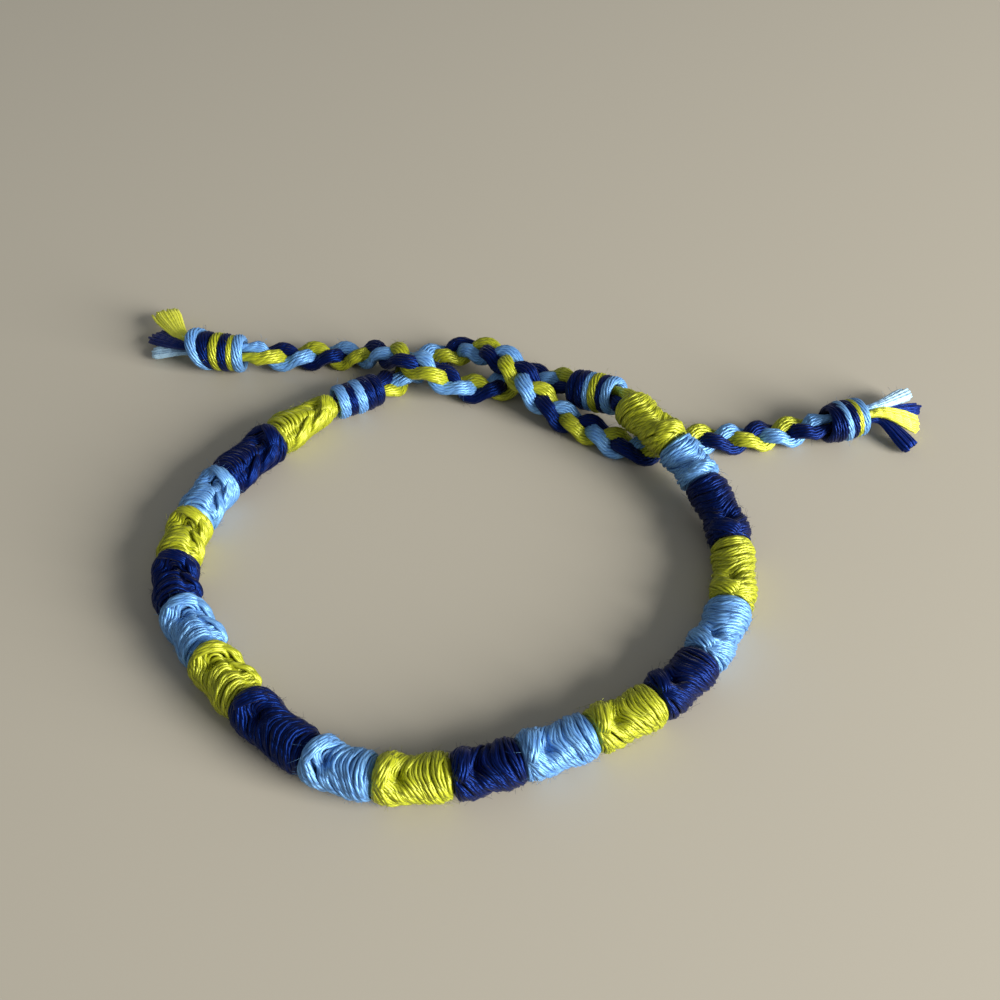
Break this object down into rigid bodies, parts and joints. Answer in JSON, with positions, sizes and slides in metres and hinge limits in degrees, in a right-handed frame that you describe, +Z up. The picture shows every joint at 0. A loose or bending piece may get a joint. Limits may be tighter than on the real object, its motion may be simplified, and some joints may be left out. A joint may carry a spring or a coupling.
{
  "type": "friendship bracelet",
  "caption": "Knotted cotton friendship bracelet lying flat: a band of half hitches in blocks of yellow, navy and sky blue, with plaited ties, wrapped knots and short tassels.",
  "frame": {"origin": "middle of the whole outline, on the surface that the bracelet lies on", "axes": "+X along the greatest width, to the right as it is seen in the picture; +Y away from the viewer; +Z up from the surface"},
  "size_m": [0.098, 0.069, 0.0078],
  "materials": {
    "yellow_floss": "mercerised cotton floss, yellow-green, with a soft silky sheen",
    "navy_floss": "mercerised cotton floss, navy, with a soft silky sheen",
    "sky_floss": "mercerised cotton floss, sky blue, with a soft silky sheen"
  },
  "bodies": {
    "root": {"hitch_01": "yellow_floss", "hitch_02": "navy_floss", "hitch_03": "sky_floss", "hitch_04": "yellow_floss", "hitch_05": "navy_floss", "hitch_06": "sky_floss", "hitch_07": "yellow_floss", "hitch_08": "navy_floss", "hitch_09": "sky_floss", "hitch_10": "yellow_floss", "hitch_11": "navy_floss", "hitch_12": "sky_floss", "hitch_13": "yellow_floss", "hitch_14": "navy_floss", "hitch_15": "sky_floss", "hitch_16": "yellow_floss", "hitch_17": "navy_floss", "hitch_18": "sky_floss", "hitch_19": "yellow_floss", "left_tie_yellow": "yellow_floss", "left_tie_navy": "navy_floss", "left_tie_sky": "sky_floss", "right_tie_yellow": "yellow_floss", "right_tie_navy": "navy_floss", "right_tie_sky": "sky_floss", "left_band_knot_navy": "navy_floss", "left_band_knot_sky": "sky_floss", "right_band_knot_yellow": "yellow_floss", "right_band_knot_navy": "navy_floss", "right_band_knot_sky": "sky_floss", "left_end_knot_yellow": "yellow_floss", "left_end_knot_navy": "navy_floss", "left_end_knot_sky": "sky_floss", "right_end_knot_yellow": "yellow_floss", "right_end_knot_navy": "navy_floss", "right_end_knot_sky": "sky_floss", "left_tassel_yellow": "yellow_floss", "left_tassel_navy": "navy_floss", "left_tassel_sky": "sky_floss", "right_tassel_yellow": "yellow_floss", "right_tassel_navy": "navy_floss", "right_tassel_sky": "sky_floss"}
  },
  "joints": []
}
